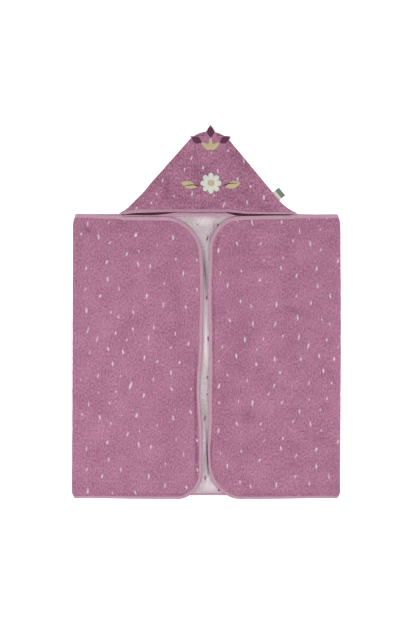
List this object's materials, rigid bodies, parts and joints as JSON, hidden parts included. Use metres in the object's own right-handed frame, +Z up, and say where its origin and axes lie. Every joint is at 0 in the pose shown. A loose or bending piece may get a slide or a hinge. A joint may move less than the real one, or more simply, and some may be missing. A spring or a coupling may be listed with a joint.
{
  "type": "hooded towel",
  "caption": "Toddler's hooded bath towel in dashed mauve terry, laid flat with both sides folded to the front and a pointed hood.",
  "frame": {"origin": "on the surface the towel lies on, under the middle of its whole outline", "axes": "+Z up off the surface, +Y towards the tip of the hood, +X to the right of the picture"},
  "size_m": [0.6602, 0.9194, 0.013],
  "materials": {
    "mauve_terry": "looped cotton terry, matt",
    "pink_binding": "smooth cotton bias tape, matt",
    "plum_felt": "brushed cloth, matt",
    "beige_felt": "brushed cloth, matt",
    "cream_felt": "brushed cloth, matt",
    "label_ribbon": "woven ribbon, faint sheen"
  },
  "bodies": {
    "root": {"towel_body": "mauve_terry", "body_binding": "pink_binding", "hood_back": "mauve_terry", "hood_front": "mauve_terry", "hood_binding": "pink_binding", "sprig_backing": "mauve_terry", "sprig_leaf_1": "plum_felt", "sprig_leaf_2": "plum_felt", "sprig_leaf_3": "plum_felt", "sprig_stems": "beige_felt", "daisy_petals": "cream_felt", "daisy_heart": "beige_felt", "motif_leaf_left": "beige_felt", "motif_leaf_right": "beige_felt", "side_label": "label_ribbon"}
  },
  "joints": []
}
